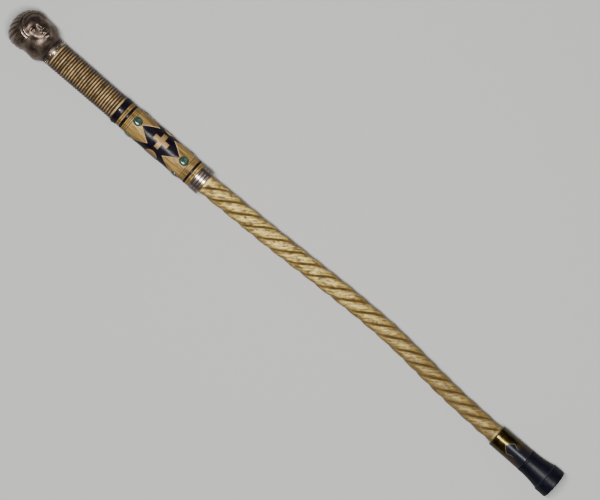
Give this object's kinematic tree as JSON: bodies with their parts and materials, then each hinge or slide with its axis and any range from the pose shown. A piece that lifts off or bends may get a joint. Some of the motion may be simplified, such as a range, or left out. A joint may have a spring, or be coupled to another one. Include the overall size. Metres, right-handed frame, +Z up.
{
  "type": "talking stick",
  "caption": "Carved talking stick with a cast head knob, ringed grip, inlaid barrel with green stones, left-hand twisted shaft, brass ferrule and rubber tip.",
  "frame": {"origin": "middle of the box's underside, on the surface that the stick lies on", "axes": "+X along the stick from the head to the rubber tip, +Z up, away from the surface that it lies on; the front cross faces up"},
  "size_m": [0.9147, 0.056, 0.0557],
  "materials": {
    "cast_metal": "dark patinated cast metal, rubbed bright on the high places",
    "grip_horn": "turned rings, tan crests and dark brown grooves, satin",
    "black_horn": "polished black, satin to gloss",
    "barrel_wood": "pale tan varnished hardwood with fine grain",
    "silver": "polished white metal, dulled in the grooves",
    "inlay_brass": "warm pinkish brass, brushed satin",
    "green_stone": "polished mottled green cabochon",
    "shaft_wood": "worn tan wood, pale crests and brown grooves",
    "dark_brass": "tarnished brass, gold at the top and black towards the tip",
    "black_rubber": "matte blue-black rubber"
  },
  "bodies": {
    "root": {"head_knob": "cast_metal", "grip": "grip_horn", "black_collar": "black_horn", "upper_bead": "barrel_wood", "upper_spacer": "black_horn", "barrel": "barrel_wood", "inlay_band": "black_horn", "front_cross": "inlay_brass", "back_cross": "inlay_brass", "side_oval": "inlay_brass", "far_oval": "inlay_brass", "lower_spacer": "black_horn", "lower_bead": "barrel_wood", "silver_collar": "silver", "shaft": "shaft_wood", "ferrule": "dark_brass", "rubber_tip": "black_rubber", "neck_pin_1": "silver", "neck_pin_2": "silver", "neck_pin_3": "silver", "neck_pin_4": "silver", "neck_pin_5": "silver", "neck_pin_6": "silver", "neck_pin_7": "silver", "neck_pin_8": "silver", "collar_pin_1": "silver", "collar_pin_2": "silver", "collar_pin_3": "silver", "collar_pin_4": "silver", "upper_stone_1": "green_stone", "upper_stone_2": "green_stone", "upper_stone_3": "green_stone", "upper_stone_4": "green_stone", "lower_stone_1": "green_stone", "lower_stone_2": "green_stone", "lower_stone_3": "green_stone", "lower_stone_4": "green_stone"}
  },
  "joints": []
}
